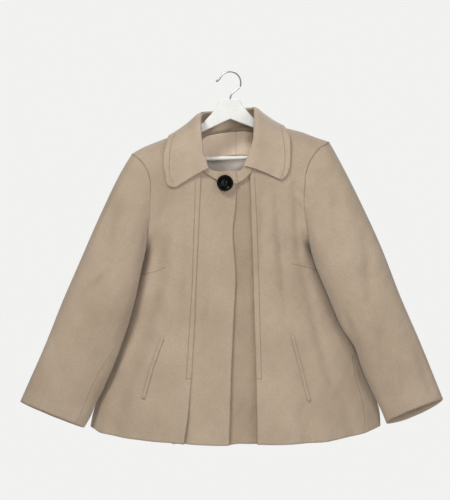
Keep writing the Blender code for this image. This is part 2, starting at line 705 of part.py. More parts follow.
# button on the neck: place, lift of its back face, radius, thickness, holes
BUTTON_AT = (-11 * MM, -239 * MM)
BUTTON_LIFT = 5.9 * MM
BUTTON_RADIUS = 17.2 * MM
BUTTON_THICK = 5 * MM
BUTTON_HOLE = 1.5 * MM
BUTTON_HOLE_AT = 3.4 * MM

# hanger: outline across and height, from the right tip over the top and back underneath
WOOD_TOP = [
    (-191, -169.5), (-165, -156.5), (-126, -141), (-84, -122.5), (-70, -116), (-56, -105.5),
    (-42, -91), (-30, -75), (-24, -62), (-20, -58), (18, -58), (22, -62), (30, -75), (40, -87),
    (50, -98), (70, -107), (118, -123), (153, -132.6), (181, -143.6), (192, -147.9),
]
WOOD_UNDER = [
    (192, -188), (164, -187), (164, -170), (48, -118), (0, -100), (-56, -126), (-172, -179),
    (-172, -196), (-191, -197),
]
WOOD_THICK = 14 * MM
WOOD_EDGE = 2 * MM
BAR_ENDS = ((-171.6 * MM, -187.6 * MM), (163.6 * MM, -179.3 * MM))
BAR_RADIUS = 4.5 * MM
WIRE_RADIUS = 1.65 * MM
HOOK_RADIUS = 23.3 * MM
HOOK_TIP = (-28, -18)
HOOK_NECK = [(21.3, -30), (16, -35.5), (9, -41), (3.5, -46), (1, -51), (0, -57.6)]


def build_button(plastic):
    """A turned button with a raised rim and four holes, sewn flat on the neck."""
    turn, run = spot(*BUTTON_AT)
    way = outward(turn, run)
    base = place(turn, run) + way * BUTTON_LIFT
    profile = [
        (0.0, 3.2), (0.5, 3.2), (0.68, 3.6), (0.8, 4.8), (0.9, 5.0), (0.97, 4.5), (1.0, 3.2),
        (0.98, 1.4), (0.85, 0.2), (0.5, 0.0), (0.0, 0.0),
    ]
    points = [(share * BUTTON_RADIUS, 0.0, high / 5.0 * BUTTON_THICK) for share, high in profile]
    mesh = bpy.data.meshes.new("button")
    model = bmesh.new()
    rings = [model.verts.new(point) for point in points]
    edges = [model.edges.new(pair) for pair in zip(rings, rings[1:])]
    bmesh.ops.spin(
        model, geom=rings + edges, cent=(0, 0, 0), axis=(0, 0, 1), angle=2 * math.pi, steps=24,
        use_merge=True,
    )
    bmesh.ops.remove_doubles(model, verts=model.verts, dist=0.00001)
    bmesh.ops.recalc_face_normals(model, faces=model.faces)
    model.to_mesh(mesh)
    model.free()
    mesh.shade_smooth()
    mesh.set_sharp_from_angle(angle=math.radians(40))
    mesh.materials.append(plastic)
    button = bpy.data.objects.new("button", mesh)
    bpy.context.scene.collection.objects.link(button)
    tilt = mathutils.Vector(way).to_track_quat("Z", "Y")
    button.rotation_mode = "QUATERNION"
    button.rotation_quaternion = tilt
    button.location = base

    holes = bmesh.new()
    for across, up in ((1, 1), (1, -1), (-1, 1), (-1, -1)):
        shift = mathutils.Matrix.Translation((across * BUTTON_HOLE_AT, up * BUTTON_HOLE_AT, 2 * MM))
        bmesh.ops.create_cone(
            holes, cap_ends=True, segments=8, radius1=BUTTON_HOLE, radius2=BUTTON_HOLE,
            depth=12 * MM, matrix=shift,
        )
    mesh = bpy.data.meshes.new("button_holes")
    holes.to_mesh(mesh)
    holes.free()
    cutter = bpy.data.objects.new("button_holes", mesh)
    bpy.context.scene.collection.objects.link(cutter)
    cutter.hide_render = True
    cutter.display_type = "WIRE"
    cutter.parent = button
    cut = button.modifiers.new("holes", "BOOLEAN")
    cut.operation = "DIFFERENCE"
    cut.object = cutter


def build_hanger(paint, steel):
    outline = WOOD_TOP + WOOD_UNDER
    count = len(outline)
    points = [(x * MM, y, z * MM) for y in (-WOOD_THICK / 2, WOOD_THICK / 2) for x, z in outline]
    faces = [list(range(count)), list(range(2 * count - 1, count - 1, -1))]
    for index in range(count):
        after = (index + 1) % count
        faces.append([index, index + count, after + count, after])
    wood = add_object("hanger_wood", points, faces, paint)
    bevel = wood.modifiers.new("edges", "BEVEL")
    bevel.width = WOOD_EDGE
    bevel.segments = 2
    bevel.limit_method = "ANGLE"
    bevel.angle_limit = math.radians(60)

    ends = [mathutils.Vector((x, 0.0, z)) for x, z in BAR_ENDS]
    middle = (ends[0] + ends[1]) / 2
    line = ends[1] - ends[0]
    mesh = bpy.data.meshes.new("hanger_bar")
    model = bmesh.new()
    bmesh.ops.create_cone(
        model, cap_ends=True, segments=16, radius1=BAR_RADIUS, radius2=BAR_RADIUS, depth=line.length
    )
    model.to_mesh(mesh)
    model.free()
    mesh.shade_smooth()
    mesh.set_sharp_from_angle(angle=math.radians(40))
    mesh.materials.append(paint)
    bar = bpy.data.objects.new("hanger_bar", mesh)
    bpy.context.scene.collection.objects.link(bar)
    bar.location = middle
    bar.rotation_euler = line.to_track_quat("Z", "Y").to_euler()

    curl = [HOOK_TIP]
    for step in range(15):
        angle = math.radians(161 - step * 170 / 14)
        curl.append((
            HOOK_RADIUS / MM * math.cos(angle) - 0.5,
            WIRE_RADIUS / MM - HOOK_RADIUS / MM * (1 - math.sin(angle)),
        ))
    route = curl + HOOK_NECK
    data = bpy.data.curves.new("hanger_hook", "CURVE")
    data.dimensions = "3D"
    data.bevel_depth = WIRE_RADIUS
    data.bevel_resolution = 2
    data.use_fill_caps = True
    spline = data.splines.new("POLY")
    spline.points.add(len(route) - 1)
    for point, (x, z) in zip(spline.points, route):
        point.co = (x * MM, 0.0, z * MM, 1.0)
    spline.points[0].radius = 1.5
    data.materials.append(steel)
    hook = bpy.data.objects.new("hanger_hook", data)
    bpy.context.scene.collection.objects.link(hook)


def main():
    for stale in list(bpy.data.objects):
        bpy.data.objects.remove(stale)
    shell = finish("shell_cloth", (0.46, 0.36, 0.27), 0.9)
    lining = finish("lining_cloth", (0.30, 0.27, 0.24), 0.6)
    plastic = finish("button_plastic", (0.01, 0.01, 0.01), 0.15)
    paint = finish("hanger_paint", (0.85, 0.85, 0.82), 0.4)
    steel = finish("hook_steel", (0.35, 0.36, 0.36), 0.3, 1.0)
    build_fronts(shell)
    build_backs(shell)
    build_sleeves(shell)
    build_collar(shell)
    build_inside(shell, lining)
    build_welts(shell)
    build_button(plastic)
    build_hanger(paint, steel)


main()
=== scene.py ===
"""Looks of the swing coat on its hanger: cloth, stitching, button, paint and wire."""
import math

import bmesh
import bpy
import numpy as np
from mathutils import Matrix, Vector
from mathutils.bvhtree import BVHTree


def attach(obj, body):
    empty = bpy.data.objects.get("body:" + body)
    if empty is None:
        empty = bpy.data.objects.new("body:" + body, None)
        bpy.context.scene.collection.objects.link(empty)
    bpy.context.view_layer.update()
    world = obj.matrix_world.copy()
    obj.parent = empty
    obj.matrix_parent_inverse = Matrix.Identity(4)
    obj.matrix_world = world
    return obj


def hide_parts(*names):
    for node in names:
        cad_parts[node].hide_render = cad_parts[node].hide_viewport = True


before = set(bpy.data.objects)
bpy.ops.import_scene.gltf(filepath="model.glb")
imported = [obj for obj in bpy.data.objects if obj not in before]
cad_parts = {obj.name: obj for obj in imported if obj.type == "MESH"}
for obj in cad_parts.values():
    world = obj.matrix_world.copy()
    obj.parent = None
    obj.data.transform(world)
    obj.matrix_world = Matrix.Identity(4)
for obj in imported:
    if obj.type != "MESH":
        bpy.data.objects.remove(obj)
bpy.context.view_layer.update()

MM = 0.001

# picture: how far away the camera stands, and what it looks at
CAMERA_DISTANCE = 4.0
PICTURE_HEIGHT = 1.07
PICTURE_CENTRE = (-0.0111, -0.380)
FLOOR_HEIGHT = -1.5
FLOOR_SIZE = 7.0
LIGHTS_AIM = (0, 0, -0.4)
SENSOR_WIDTH = 36.0

# cloth pieces: node, slot, cut width, cut length, share of that rectangle that is cloth
CLOTH_PIECES = [
    ("front_right_side", "shell", 0.26, 0.68, 0.57),
    ("front_right_centre", "shell", 0.14, 0.60, 0.745),
    ("front_left_centre", "shell", 0.13, 0.62, 0.78),
    ("front_left_side", "shell", 0.29, 0.68, 0.59),
    ("back_right", "shell", 0.34, 0.70, 0.683),
    ("back_left", "shell", 0.36, 0.70, 0.693),
    ("sleeve_right_upper", "shell", 0.29, 0.60, 0.74),
    ("sleeve_right_under", "shell", 0.15, 0.52, 0.675),
    ("sleeve_left_upper", "shell", 0.31, 0.60, 0.765),
    ("sleeve_left_under", "shell", 0.14, 0.52, 0.62),
    ("collar_fall", "shell", 0.56, 0.10, 0.854),
    ("collar_stand", "shell", 0.60, 0.045, 0.793),
    ("neck_facing", "shell", 0.19, 0.06, 0.71),
    ("back_lining", "lining", 0.24, 0.13, 0.87),
    ("welt_right", "shell", 0.01, 0.135, 0.62),
    ("welt_left", "shell", 0.01, 0.145, 0.62),
]


# rounds, and share of the miss put right each time, that keep a smoothed copy on its solid's points
FIT_ROUNDS = 5
COLLAR_FIT_ROUNDS = 1
FIT_SHARE = 0.8
# widest cut edge of a cloth, and how far it is pushed out to meet its neighbour
RIM_WIDTH = 2.6 * MM
SEAM_CLOSE = 0.28 * MM
# borders bent more than this stay sharp, and the rest of the cloth is shaded smooth
SHARP_ANGLE = 55
CLOTH_SMOOTH_ANGLE = 50
ROUND_SMOOTH_ANGLE = 60


def clear_selection():
    if bpy.context.object and bpy.context.object.mode != "OBJECT":
        bpy.ops.object.mode_set(mode="OBJECT")
    bpy.ops.object.select_all(action="DESELECT")


def pick(thing):
    clear_selection()
    thing.select_set(True)
    bpy.context.view_layer.objects.active = thing


def settle(thing):
    """Moves an object's place into its mesh."""
    pick(thing)
    bpy.ops.object.transform_apply(location=True, rotation=True, scale=True)


def shade_smooth(thing, angle=40):
    pick(thing)
    bpy.ops.object.shade_smooth_by_angle(angle=math.radians(angle))


def points_of(thing):
    data = np.empty(len(thing.data.vertices) * 3)
    thing.data.vertices.foreach_get("co", data)
    return data.reshape(-1, 3)


def put_points(thing, points):
    thing.data.vertices.foreach_set("co", points.ravel())
    thing.data.update()


# Shader groups


def new_group(name, inputs, outputs):
    """A shader group with named sockets: name, kind and start value of each input."""
    group = bpy.data.node_groups.new(name, "ShaderNodeTree")
    for label, kind, value in inputs:
        socket = group.interface.new_socket(name=label, in_out="INPUT", socket_type=kind)
        socket.default_value = value
    for label, kind in outputs:
        group.interface.new_socket(name=label, in_out="OUTPUT", socket_type=kind)
    start = group.nodes.new("NodeGroupInput")
    end = group.nodes.new("NodeGroupOutput")
    return group, start, end


def math_node(tree, operation, first, second=None, clamp=False):
    node = tree.nodes.new("ShaderNodeMath")
    node.operation = operation
    node.use_clamp = clamp
    for socket, value in zip(node.inputs, (first, second)):
        if value is None:
            continue
        if isinstance(value, (int, float)):
            socket.default_value = value
        else:
            tree.links.new(value, socket)
    return node.outputs[0]


def noise_node(tree, place, scale, detail=2.0, roughness=0.5):
    node = tree.nodes.new("ShaderNodeTexNoise")
    node.inputs["Detail"].default_value = detail
    node.inputs["Roughness"].default_value = roughness
    tree.links.new(place, node.inputs["Vector"])
    if isinstance(scale, (int, float)):
        node.inputs["Scale"].default_value = scale
    else:
        tree.links.new(scale, node.inputs["Scale"])
    return node.outputs["Fac"]


def make_nap_group():
    """Brushed wool: a fine felted nap over a faint twill, with soft cloudy shading."""
    group, start, end = new_group(
        "wool nap",
        [
            ("Place", "NodeSocketVector", (0.0, 0.0, 0.0)),
            ("Fibre Scale", "NodeSocketFloat", 900.0),
            ("Twill Scale", "NodeSocketFloat", 1100.0),
        ],
        [("Height", "NodeSocketFloat"), ("Shade", "NodeSocketFloat"), ("Fleck", "NodeSocketFloat")],
    )
    place = start.outputs["Place"]
    stretch = group.nodes.new("ShaderNodeMapping")
    stretch.inputs["Scale"].default_value = (1.0, 1.0, 0.35)
    group.links.new(place, stretch.inputs["Vector"])
    fibres = noise_node(group, stretch.outputs[0], start.outputs["Fibre Scale"], 3.0, 0.65)
    twill = group.nodes.new("ShaderNodeTexWave")
    twill.bands_direction = "DIAGONAL"
    twill.inputs["Distortion"].default_value = 1.5
    twill.inputs["Detail"].default_value = 1.0
    group.links.new(place, twill.inputs["Vector"])
    group.links.new(start.outputs["Twill Scale"], twill.inputs["Scale"])
    weave = math_node(group, "MULTIPLY", twill.outputs["Fac"], 0.18)
    height = math_node(group, "ADD", math_node(group, "MULTIPLY", fibres, 0.9), weave)
    group.links.new(height, end.inputs["Height"])
    clouds = noise_node(group, place, 9.0, 3.0, 0.55)
    group.links.new(clouds, end.inputs["Shade"])
    flecks = noise_node(group, place, 420.0, 2.0, 0.7)
    group.links.new(flecks, end.inputs["Fleck"])
    return group


def make_seam_group():
    """A straight sewn line between two places of the front view, as a mask for a groove and for painted
    shade along it.
    """
    group, start, end = new_group(
        "sewn line",
        [
            ("Place", "NodeSocketVector", (0.0, 0.0, 0.0)),
            ("From", "NodeSocketVector", (0.0, 0.0, 0.0)),
            ("To", "NodeSocketVector", (0.0, 0.0, 0.1)),
            ("Half Width", "NodeSocketFloat", 0.001),
        ],
        [("Line", "NodeSocketFloat")],
    )

    def vector(operation, first, second=None, scale=None):
        node = group.nodes.new("ShaderNodeVectorMath")
        node.operation = operation
        for socket, value in zip(node.inputs, (first, second)):
            if value is None:
                continue
            if isinstance(value, tuple):
                socket.default_value = value
            else:
                group.links.new(value, socket)
        if scale is not None:
            group.links.new(scale, node.inputs["Scale"])
        return node

    flat = vector("MULTIPLY", start.outputs["Place"], (1.0, 0.0, 1.0)).outputs[0]
    line = vector("SUBTRACT", start.outputs["To"], start.outputs["From"]).outputs[0]
    away = vector("SUBTRACT", flat, start.outputs["From"]).outputs[0]
    along = vector("DOT_PRODUCT", away, line).outputs["Value"]
    length = vector("DOT_PRODUCT", line, line).outputs["Value"]
    share = math_node(group, "DIVIDE", along, length, clamp=True)
    nearest = vector("SCALE", line, scale=share).outputs[0]
    gap = vector("SUBTRACT", away, nearest).outputs[0]
    distance = vector("LENGTH", gap).outputs["Value"]
    near = math_node(group, "DIVIDE", distance, start.outputs["Half Width"])
    falling = math_node(group, "SUBTRACT", 1.0, near, clamp=True)
    group.links.new(falling, end.inputs["Line"])
    return group


NAP = make_nap_group()
SEWN_LINE = make_seam_group()


def new_material(name):
    material = bpy.data.materials.new(name)
    material.use_nodes = True
    tree = material.node_tree
    shader = tree.nodes["Principled BSDF"]
    place = tree.nodes.new("ShaderNodeTexCoord").outputs["Object"]
    return material, tree, shader, place


def add_group(tree, group, place, **values):
    node = tree.nodes.new("ShaderNodeGroup")
    node.node_tree = group
    tree.links.new(place, node.inputs["Place"])
    for label, value in values.items():
        node.inputs[label.replace("_", " ")].default_value = value
    return node


def ramp_node(tree, factor, low, high, start=0.3, stop=0.7):
    node = tree.nodes.new("ShaderNodeValToRGB")
    node.color_ramp.elements[0].position = start
    node.color_ramp.elements[1].position = stop
    node.color_ramp.elements[0].color = (*low, 1.0)
    node.color_ramp.elements[1].color = (*high, 1.0)
    tree.links.new(factor, node.inputs["Fac"])
    return node.outputs["Color"]


def mix_colours(tree, blend, factor, first, second):
    node = tree.nodes.new("ShaderNodeMix")
    node.data_type = "RGBA"
    node.blend_type = blend
    sockets = {"factor": node.inputs[0], "first": node.inputs[6], "second": node.inputs[7]}
    for key, value in (("factor", factor), ("first", first), ("second", second)):
        if isinstance(value, (int, float)):
            sockets[key].default_value = value
        elif isinstance(value, tuple):
            sockets[key].default_value = (*value, 1.0)
        else:
            tree.links.new(value, sockets[key])
    return node.outputs[2]


def bump(tree, shader, height, distance, strength):
    node = tree.nodes.new("ShaderNodeBump")
    node.inputs["Distance"].default_value = distance
    node.inputs["Strength"].default_value = strength
    tree.links.new(height, node.inputs["Height"])
    tree.links.new(node.outputs["Normal"], shader.inputs["Normal"])


SHELL_LOW = (0.375, 0.290, 0.212)
SHELL_HIGH = (0.455, 0.362, 0.272)


def wool_material(name, lines=(), tint=(1.0, 1.0, 1.0)):
    """The coat's beige wool, with sewn lines where a piece has them: from, to, half width. Each line is a
    bump groove with painted shade: the wool darkened along it.
    """
    material, tree, shader, place = new_material(name)
    nap = add_group(tree, NAP, place)
    low = tuple(value * part for value, part in zip(SHELL_LOW, tint))
    high = tuple(value * part for value, part in zip(SHELL_HIGH, tint))
    colour = ramp_node(tree, nap.outputs["Shade"], low, high, 0.25, 0.75)
    fleck = ramp_node(tree, nap.outputs["Fleck"], (0.86, 0.86, 0.86), (1.06, 1.05, 1.04), 0.35, 0.65)
    colour = mix_colours(tree, "MULTIPLY", 0.8, colour, fleck)
    height = nap.outputs["Height"]
    for place_from, place_to, half_width in lines:
        sewn = add_group(
            tree, SEWN_LINE, place,
            From=(place_from[0] * MM, 0.0, place_from[1] * MM),
            To=(place_to[0] * MM, 0.0, place_to[1] * MM),
            Half_Width=half_width * MM,
        )
        line = sewn.outputs["Line"]
        height = math_node(tree, "SUBTRACT", height, math_node(tree, "MULTIPLY", line, 4.0))
        # painted shade: the wool is darkened along the sewn line, for the shade in its groove
        painted_groove_shade = math_node(tree, "MULTIPLY", line, 0.42)
        colour = mix_colours(tree, "MULTIPLY", painted_groove_shade, colour, (0.30, 0.26, 0.22))
    tree.links.new(colour, shader.inputs["Base Color"])
    shader.inputs["Roughness"].default_value = 0.92
    shader.inputs["Sheen Weight"].default_value = 0.25
    shader.inputs["Sheen Roughness"].default_value = 0.5
    shader.inputs["Specular IOR Level"].default_value = 0.25
    bump(tree, shader, height, 0.0004, 0.55)
    return material


def lining_material():
    """Smooth grey lining with a faint weave and a soft shine. Its grey is made lighter than its own, as
    painted light for the shaded inside of the neck.
    """
    material, tree, shader, place = new_material("lining")
    nap = add_group(tree, NAP, place, Fibre_Scale=1600.0, Twill_Scale=2200.0)
    # painted light: both greys are raised above the lining's own colour
    colour = ramp_node(tree, nap.outputs["Shade"], (0.44, 0.385, 0.335), (0.60, 0.53, 0.47))
    tree.links.new(colour, shader.inputs["Base Color"])
    shader.inputs["Roughness"].default_value = 0.5
    shader.inputs["Sheen Weight"].default_value = 0.3
    bump(tree, shader, nap.outputs["Height"], 0.00015, 0.35)
    return material


def plastic_material():
    """Polished black button plastic with hairline scratches."""
    material, tree, shader, place = new_material("button gloss")
    scratches = noise_node(tree, place, 2600.0, 2.0, 0.6)
    haze = noise_node(tree, place, 160.0, 2.0, 0.5)
    colour = ramp_node(tree, haze, (0.0015, 0.0015, 0.0015), (0.003, 0.003, 0.003))
    tree.links.new(colour, shader.inputs["Base Color"])
    rough = math_node(tree, "ADD", math_node(tree, "MULTIPLY", haze, 0.12), 0.14)
    tree.links.new(rough, shader.inputs["Roughness"])
    shader.inputs["Specular IOR Level"].default_value = 0.04
    bump(tree, shader, scratches, 0.00005, 0.2)
    return material


def paint_material(name, low, high):
    """Off-white painted wood: brush marks, a little grain, yellowed and rubbed in places."""
    material, tree, shader, place = new_material(name)
    stretch = tree.nodes.new("ShaderNodeMapping")
    stretch.inputs["Scale"].default_value = (12.0, 60.0, 160.0)
    tree.links.new(place, stretch.inputs["Vector"])
    grain = noise_node(tree, stretch.outputs[0], 3.0, 4.0, 0.6)
    patches = noise_node(tree, place, 35.0, 3.0, 0.6)
    colour = ramp_node(tree, patches, low, high)
    worn = ramp_node(tree, grain, (0.90, 0.89, 0.86), (1.0, 1.0, 1.0), 0.25, 0.5)
    tree.links.new(mix_colours(tree, "MULTIPLY", 0.6, colour, worn), shader.inputs["Base Color"])
    rough = math_node(tree, "ADD", math_node(tree, "MULTIPLY", grain, 0.2), 0.3)
    tree.links.new(rough, shader.inputs["Roughness"])
    bump(tree, shader, grain, 0.0003, 0.35)
    return material


def wire_material():
    """Dull zinc-plated steel wire with grey spots."""
    material, tree, shader, place = new_material("hook wire")
    spots = noise_node(tree, place, 500.0, 3.0, 0.6)
    colour = ramp_node(tree, spots, (0.20, 0.21, 0.21), (0.42, 0.43, 0.43))
    tree.links.new(colour, shader.inputs["Base Color"])
    shader.inputs["Metallic"].default_value = 1.0
    rough = math_node(tree, "ADD", math_node(tree, "MULTIPLY", spots, 0.3), 0.22)
    tree.links.new(rough, shader.inputs["Roughness"])
    bump(tree, shader, spots, 0.00008, 0.3)
    return material


def thread_material(name, colour):
    """Twisted sewing thread."""
    material, tree, shader, place = new_material(name)
    twist = noise_node(tree, place, 3500.0, 1.0, 0.5)
    shades = ramp_node(tree, twist, tuple(part * 0.7 for part in colour), colour)
    tree.links.new(shades, shader.inputs["Base Color"])
    shader.inputs["Roughness"].default_value = 0.6
    bump(tree, shader, twist, 0.0001, 0.4)
    return material


# Cloth

# soft troughs of the front and of the back: half width, then (across, height, depth) in mm
FRONT_FOLDS = [
    (20, [(-130, -240, 0), (-138, -300, 2.5), (-146, -360, 4.0), (-159, -459, 5.0), (-169, -513, 5.0),
          (-193, -583, 4.5), (-212, -640, 2.5), (-227, -690, 0)]),
    (14, [(-96, -250, 0), (-101, -330, 2.2), (-108, -440, 3.0), (-117, -560, 2.5), (-128, -680, 0)]),
    (15, [(-30, -300, 0), (-34, -400, 1.6), (-44, -520, 2.0), (-52, -640, 1.2), (-58, -720, 0)]),
    (12, [(68, -240, 0), (69, -300, 2.2), (68, -380, 2.4), (64, -450, 0)]),
    (13, [(98, -235, 0), (102, -290, 3.0), (108, -380, 3.6), (115, -470, 2.6), (122, -540, 0)]),
    (11, [(136, -205, 0), (139, -260, 2.8), (143, -340, 3.0), (147, -400, 1.6), (150, -430, 0)]),
    (13, [(148, -400, 0), (158, -440, 2.4), (169, -485, 2.6), (186, -560, 3.0), (208, -640, 2.0),
          (226, -700, 0)]),
    (8, [(141, -245, 0), (148, -257, 2.4), (156, -270, 2.0), (166, -286, 0)]),
    (8, [(136, -270, 0), (144, -284, 1.8), (154, -300, 1.4), (163, -316, 0)]),
    (24, [(40, -480, 0), (44, -560, 2.2), (50, -660, 2.6), (54, -790, 2.0)]),
    (22, [(150, -560, 0), (156, -640, 2.6), (163, -720, 4.0), (168, -790, 5.0)]),
    (26, [(-96, -600, 0), (-108, -680, 2.8), (-116, -790, 4.6)]),
    (24, [(-215, -640, 0), (-232, -710, 2.6), (-243, -770, 4.0)]),
    (20, [(232, -660, 0), (246, -710, 2.2), (256, -775, 3.4)]),
    # right sleeve of the coat, on the left of the view
    (17, [(-236, -250, 0), (-251, -311, 4.0), (-262, -380, 3.6), (-272, -440, 1.8), (-280, -480, 0)]),
    (14, [(-290, -430, 0), (-309, -490, 2.6), (-331, -560, 3.0), (-352, -630, 0)]),
    (12, [(-236, -400, 0), (-256, -432, 2.2), (-282, -456, 2.6), (-306, -468, 0)]),
    (14, [(-352, -590, 0), (-374, -640, 2.2), (-392, -700, 2.0), (-404, -760, 1.0)]),
    # left sleeve
    (15, [(222, -238, 0), (224, -290, 3.6), (225, -350, 3.4), (232, -400, 0)]),
    (15, [(278, -330, 0), (290, -380, 3.4), (294, -440, 4.0), (296, -490, 2.0), (300, -530, 0)]),
    (10, [(238, -500, 0), (247, -528, 3.0), (256, -556, 3.6), (266, -590, 2.0), (276, -620, 0)]),
    (16, [(310, -510, 0), (321, -560, 3.4), (330, -620, 4.4), (338, -688, 3.0), (342, -750, 1.0)]),
    (14, [(352, -600, 0), (366, -654, 3.2), (374, -700, 3.0), (384, -740, 1.5)]),
    (11, [(250, -400, 0), (270, -425, 2.2), (290, -440, 1.6), (316, -446, 0)]),
    (12, [(382, -560, 0), (402, -610, 2.2), (420, -670, 1.8), (432, -700, 0)]),
]
BACK_FOLDS = [
    (22, [(-150, -250, 0), (-158, -340, 3.2), (-168, -470, 4.2), (-186, -600, 4.6), (-206, -760, 5.5)]),
    (26, [(-78, -300, 0), (-84, -420, 3.0), (-94, -560, 4.4), (-104, -700, 6.0), (-108, -790, 7.0)]),
    (20, [(-22, -420, 0), (-26, -540, 2.4), (-32, -660, 3.6), (-38, -790, 4.4)]),
    (24, [(58, -330, 0), (62, -450, 3.2), (72, -580, 4.6), (82, -790, 6.0)]),
    (20, [(138, -240, 0), (146, -340, 3.4), (158, -460, 4.0), (176, -590, 4.4), (196, -760, 5.4)]),
    (18, [(222, -560, 0), (240, -640, 3.0), (262, -740, 4.2)]),
    (16, [(-222, -560, 0), (-238, -640, 2.8), (-252, -740, 3.8)]),
    (12, [(-60, -140, 0), (-72, -170, 1.8), (-92, -196, 1.4), (-116, -214, 0)]),
    (11, [(62, -142, 0), (76, -168, 1.6), (98, -192, 1.4), (120, -208, 0)]),
    (15, [(-240, -260, 0), (-254, -330, 3.6), (-268, -400, 3.0), (-280, -450, 0)]),
    (14, [(-262, -440, 0), (-288, -480, 3.0), (-318, -505, 2.4), (-344, -520, 0)]),
    (15, [(-316, -520, 0), (-340, -590, 3.2), (-366, -660, 3.0), (-384, -750, 2.0)]),
    (15, [(232, -260, 0), (244, -330, 3.4), (258, -400, 3.0), (270, -450, 0)]),
    (13, [(258, -430, 0), (284, -468, 2.8), (312, -490, 2.6), (338, -502, 0)]),
    (15, [(312, -520, 0), (336, -590, 3.4), (362, -660, 3.2), (380, -740, 2.0)]),
]
LINING_FOLDS = [
    (4, [(-60, -190, 0), (-44, -200, 2.6), (-30, -208, 2.6), (-12, -222, 0)]),
    (4, [(6, -212, 0), (14, -202, 2.8), (28, -196, 2.2), (40, -190, 0)]),
    (4, [(-34, -184, 0), (-24, -196, 2.4), (-8, -206, 0)]),
    (3.5, [(2, -176, 2.0), (3, -200, 3.4), (2, -230, 2.0), (4, -290, 0)]),
]
# depth, waves to the metre across and up, start of each soft ripple of the cloth
RIPPLES = [
    (0.75, 11.0, 3.0, 0.4), (0.60, -7.0, 6.5, 2.1), (0.45, 19.0, 8.0, 1.2), (0.30, 31.0, -14.0, 3.0),
    (0.22, -23.0, 27.0, 0.7), (0.14, 52.0, 33.0, 5.1),
]
RIPPLES_START = -150 * MM
RIPPLES_REACH = 80 * MM
# all folds are this much deeper than stated, with a low rim beside each trough
FOLD_GAIN = 1.6
TROUGH_RIM = 0.45
# the lining hangs a little off the back, and the underlap sinks behind the front edge
LINING_EASE = 1.0 * MM
UNDERLAP_TOP = -260 * MM
UNDERLAP_REACH = 400 * MM
UNDERLAP_DROP = 6 * MM
# depth at which a piece's front half turns into its back half, and how soft that change is
MIDDLE_DEPTH = {"sleeve": -20 * MM, "other": 0.0}
SOFT_DEPTH = 14 * MM


def trough_field(flat, folds):
    """How far each front-view point is pushed in by the listed folds."""
    total = np.zeros(len(flat))
    for half_width, path in folds:
        path = np.array(path, float) * MM
        width = half_width * MM
        nearest = np.full(len(flat), np.inf)
        depth = np.zeros(len(flat))
        for start, stop in zip(path, path[1:]):
            line = stop[:2] - start[:2]
            share = np.clip((flat - start[:2]) @ line / (line @ line), 0, 1)
            gap = np.linalg.norm(flat - start[:2] - share[:, None] * line, axis=1)
            closer = gap < nearest
            nearest = np.where(closer, gap, nearest)
            depth = np.where(closer, start[2] + share * (stop[2] - start[2]), depth)
        reach = (nearest / width) ** 2
        total += FOLD_GAIN * depth * (1 - TROUGH_RIM * reach) * np.exp(-reach)
    return total


def ripple_field(flat):
    total = np.zeros(len(flat))
    for depth, across, up, start in RIPPLES:
        total += depth * MM * np.sin(2 * math.pi * (flat[:, 0] * across + flat[:, 1] * up) + start)
    return total * np.clip((RIPPLES_START - flat[:, 1]) / RIPPLES_REACH, 0, 1)


def fold_cloth(thing, name):
    """Pushes the cloth in at its folds: the front towards the back, the back towards the front."""
    points = points_of(thing)
    flat = points[:, [0, 2]]
    middle = MIDDLE_DEPTH["sleeve" if name.startswith("sleeve") else "other"]
    ripple = ripple_field(flat)
    front = np.clip((middle - points[:, 1]) / SOFT_DEPTH, 0, 1)
    back = np.clip((points[:, 1] - middle) / SOFT_DEPTH, 0, 1)
    front = front * front * (3 - 2 * front)
    back = back * back * (3 - 2 * back)
    points[:, 1] += front * (trough_field(flat, FRONT_FOLDS) + ripple)
    points[:, 1] -= back * (trough_field(flat, BACK_FOLDS) + ripple)
    if name == "back_lining":
        points[:, 1] -= np.abs(trough_field(flat, LINING_FOLDS)) + LINING_EASE
    if name == "front_left_centre":
        low = np.clip((UNDERLAP_TOP - points[:, 2]) / UNDERLAP_REACH, 0, 1)
        points[:, 1] += UNDERLAP_DROP * low
    put_points(thing, points)


def close_seams(model, sharp):
    """Pushes the cut edges of a piece out, so that sewn pieces touch."""
    shift = {}
    for face in model.faces:
        narrow = min(edge.calc_length() for edge in face.edges) < RIM_WIDTH
        if narrow and sum(edge in sharp for edge in face.edges) >= 2:
            for vertex in face.verts:
                shift[vertex] = shift.get(vertex, Vector()) + face.normal
    for vertex, way in shift.items():
        vertex.co += way.normalized() * SEAM_CLOSE


def cloth_copy(name, levels):
    """A cloth solid's own shape, welded, its sharp borders kept, smoothed and made fine."""
    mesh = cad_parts[name].data.copy()
    mesh.materials.clear()
    thing = bpy.data.objects.new(name + "_cloth", mesh)
    bpy.context.scene.collection.objects.link(thing)
    pick(thing)
    bpy.ops.object.mode_set(mode="EDIT")
    bpy.ops.mesh.select_all(action="SELECT")
    bpy.ops.mesh.remove_doubles(threshold=0.01 * MM)
    bpy.ops.mesh.normals_make_consistent(inside=False)
    bpy.ops.mesh.tris_convert_to_quads(face_threshold=math.radians(60), shape_threshold=math.radians(70))
    bpy.ops.object.mode_set(mode="OBJECT")
    model = bmesh.new()
    model.from_mesh(mesh)
    crease = model.edges.layers.float.new("crease_edge")
    sharp = set()
    for edge in model.edges:
        if len(edge.link_faces) == 2 and edge.calc_face_angle() > math.radians(SHARP_ANGLE):
            edge[crease] = 1.0
            sharp.add(edge)
    close_seams(model, sharp)
    model.to_mesh(mesh)
    model.free()
    finer = thing.modifiers.new("finer", "SUBSURF")
    finer.levels = finer.render_levels = levels
    goal = points_of(thing)
    for _ in range(COLLAR_FIT_ROUNDS if name.startswith("collar") else FIT_ROUNDS):
        layer = bpy.context.evaluated_depsgraph_get()
        shown = points_of(thing.evaluated_get(layer))[:len(goal)]
        put_points(thing, points_of(thing) + FIT_SHARE * (goal - shown))
    bpy.ops.object.modifier_apply(modifier="finer")
    return thing
